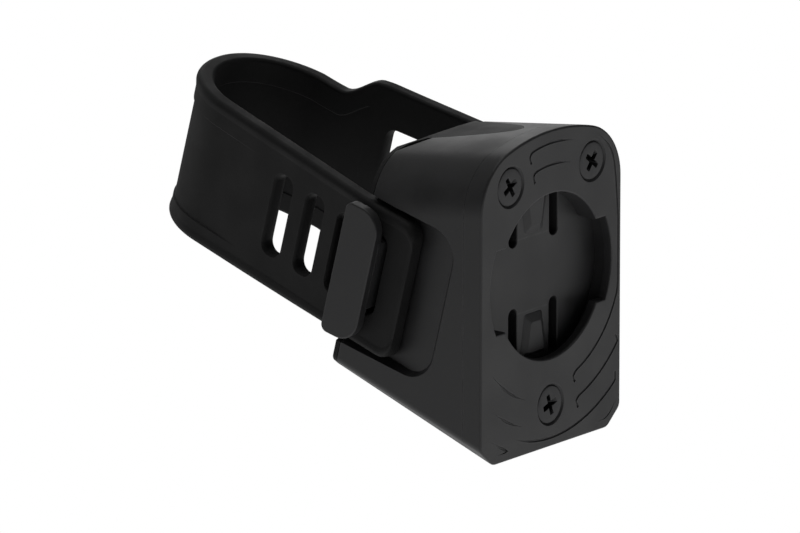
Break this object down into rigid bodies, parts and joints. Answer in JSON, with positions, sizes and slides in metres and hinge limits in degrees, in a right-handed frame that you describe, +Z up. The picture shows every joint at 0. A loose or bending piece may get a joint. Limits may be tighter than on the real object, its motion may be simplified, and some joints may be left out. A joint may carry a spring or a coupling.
{
  "type": "bicycle seatpost mount",
  "caption": "Strap-on seatpost mount: a wedge-shaped moulded housing with a bayonet socket in its face, sprung detent fingers and a tilted rubber strap held by side hooks.",
  "frame": {"origin": "on the seatpost's axis, level with the middle of the strap's slots", "axes": "+X to the right seen from the socket side, -Y out of the socket's face, +Z up along the socket's face; the seatpost's axis leans 14 degrees towards -Y in the YZ plane"},
  "size_m": [0.0406, 0.0704, 0.0508],
  "materials": {
    "moulded_black": "matt black, finely textured moulded plastic",
    "strap_rubber": "matt black moulded rubber",
    "blackened_steel": "black-oxide steel",
    "insert_brass": "plain turned brass"
  },
  "bodies": {
    "mount_body": {"housing": "moulded_black", "front_plate": "moulded_black", "socket_disc": "moulded_black", "face_screw_upper_left": "blackened_steel", "face_screw_upper_right": "blackened_steel", "face_screw_lower": "blackened_steel", "threaded_insert_upper_left": "insert_brass", "threaded_insert_upper_right": "insert_brass", "threaded_insert_lower": "insert_brass", "saddle_pad": "strap_rubber", "strap_hook": "moulded_black", "anchor_hook": "moulded_black", "hook_pin_left": "blackened_steel", "hook_pin_right": "blackened_steel", "strap_loop": "strap_rubber"},
    "upper_finger": {"detent_finger_upper": "moulded_black"},
    "lower_finger": {"detent_finger_lower": "moulded_black"},
    "strap_arm": {"strap_free_end": "strap_rubber"}
  },
  "joints": [
    {"name": "finger_upper_flex", "type": "hinge", "parent": "mount_body", "child": "upper_finger", "pos_m": [0, -0.03432, 0.00134], "axis": [-1, 0, 0], "range_deg": [0, 7], "stiffness_Nm_per_rad": 0.05},
    {"name": "finger_lower_flex", "type": "hinge", "parent": "mount_body", "child": "lower_finger", "pos_m": [0, -0.03432, -0.01026], "axis": [1, 0, 0], "range_deg": [0, 7], "stiffness_Nm_per_rad": 0.05},
    {"name": "strap_unhook", "type": "hinge", "parent": "mount_body", "child": "strap_arm", "pos_m": [0, 0.0279, 0.00696], "axis": [0, 0.2419, -0.9703], "range_deg": [0, 70], "stiffness_Nm_per_rad": 0.03, "deforming": ["strap_free_end"]}
  ]
}
